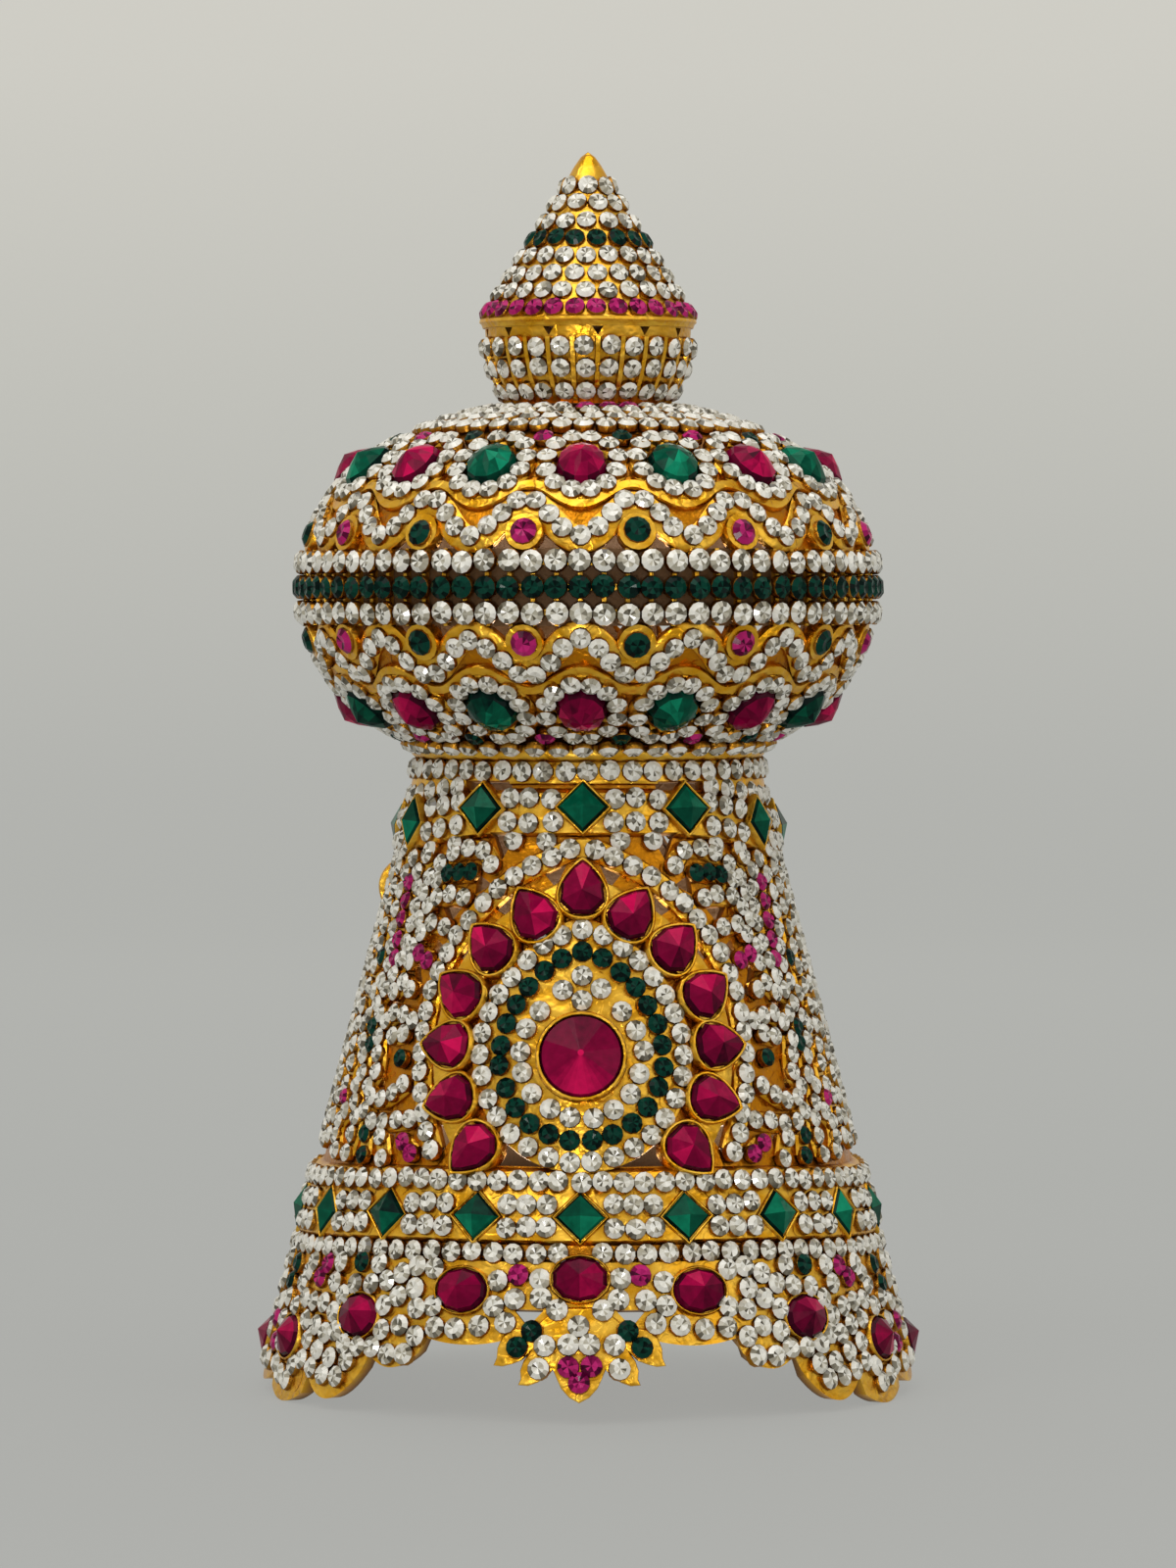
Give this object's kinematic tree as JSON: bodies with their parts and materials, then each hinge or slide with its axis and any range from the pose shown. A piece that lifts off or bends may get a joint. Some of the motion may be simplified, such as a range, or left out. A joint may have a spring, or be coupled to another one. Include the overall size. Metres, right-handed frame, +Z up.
{
  "type": "deity crown",
  "caption": "Tall pierced crown for a deity figure: stone-set flared skirt with a scalloped rim, melon-shaped bulb and pointed finial, open below to slip over the head.",
  "frame": {"origin": "on the ground under the crown's axis, at the middle of the open foot", "axes": "+Z up along the axis to the finial's tip, -Y to the front with the medallion, +X to the viewer's right"},
  "size_m": [0.103, 0.0983, 0.1905],
  "materials": {
    "gold": "bright gold plate over cast relief, with darker orange in the recesses",
    "ruby": "foil-backed cut glass, deep magenta red",
    "emerald": "foil-backed cut glass, green",
    "crystal": "small foil-backed clear crystals in gold cups",
    "dark_green": "small dark green cut stones",
    "pink": "small pink-purple cut stones"
  },
  "bodies": {
    "root": {"skirt_wall": "gold", "bulb_lower": "gold", "equator_band": "gold", "bulb_upper": "gold", "finial_cup": "gold", "finial_cone": "gold", "medallion_ruby": "ruby", "pear_ruby_01": "ruby", "pear_ruby_02": "ruby", "pear_ruby_03": "ruby", "pear_ruby_04": "ruby", "pear_ruby_05": "ruby", "pear_ruby_06": "ruby", "pear_ruby_07": "ruby", "pear_ruby_08": "ruby", "pear_ruby_09": "ruby", "pear_ruby_10": "ruby", "pear_ruby_11": "ruby", "pear_ruby_12": "ruby", "pear_ruby_13": "ruby", "rim_ruby_01": "ruby", "rim_ruby_02": "ruby", "rim_ruby_03": "ruby", "rim_ruby_04": "ruby", "rim_ruby_05": "ruby", "rim_ruby_06": "ruby", "rim_ruby_07": "ruby", "rim_ruby_08": "ruby", "rim_ruby_09": "ruby", "rim_ruby_10": "ruby", "rim_ruby_11": "ruby", "rim_ruby_12": "ruby", "rim_ruby_13": "ruby", "rim_ruby_14": "ruby", "rim_ruby_15": "ruby", "rim_ruby_16": "ruby", "collar_emerald_01": "emerald", "collar_emerald_02": "emerald", "collar_emerald_03": "emerald", "collar_emerald_04": "emerald", "collar_emerald_05": "emerald", "collar_emerald_06": "emerald", "collar_emerald_07": "emerald", "collar_emerald_08": "emerald", "collar_emerald_09": "emerald", "collar_emerald_10": "emerald", "collar_emerald_11": "emerald"}
  },
  "joints": []
}
